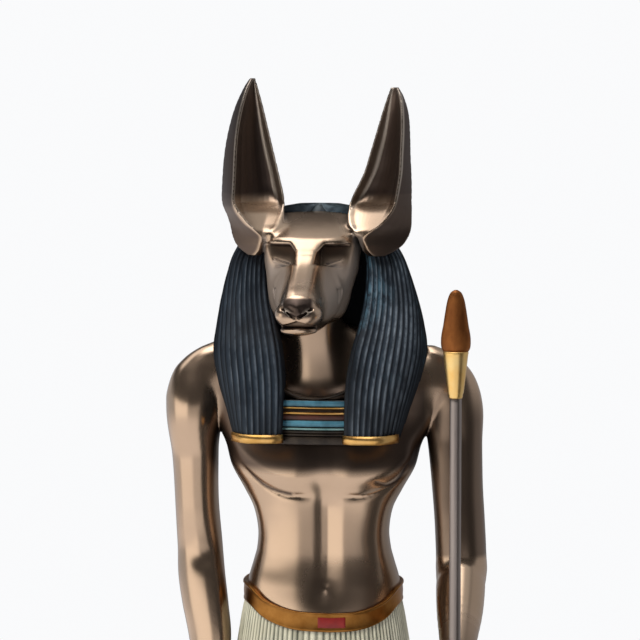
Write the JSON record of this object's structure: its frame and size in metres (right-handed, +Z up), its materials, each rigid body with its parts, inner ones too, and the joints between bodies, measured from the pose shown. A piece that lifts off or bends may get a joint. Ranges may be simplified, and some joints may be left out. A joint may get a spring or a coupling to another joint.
{
  "type": "jackal-headed god statue",
  "caption": "Standing jackal-headed figure in a striped wig and pleated kilt, holding an upright spear, on a low base.",
  "frame": {"origin": "centre of the base's underside", "axes": "+Z up; the figure faces -Y; its left hand, with the spear, is at +X"},
  "size_m": [0.098, 0.09, 0.29],
  "materials": {
    "bronze": "polished cold-cast bronze, brown patina; painted wig, collar, belt and kilt",
    "spear_bronze": "bronze rod with a gilt socket and a copper-brown blade",
    "base_bronze": "dark satin cold-cast bronze"
  },
  "bodies": {
    "root": {"figure": "bronze", "spear": "spear_bronze", "base": "base_bronze"}
  },
  "joints": []
}
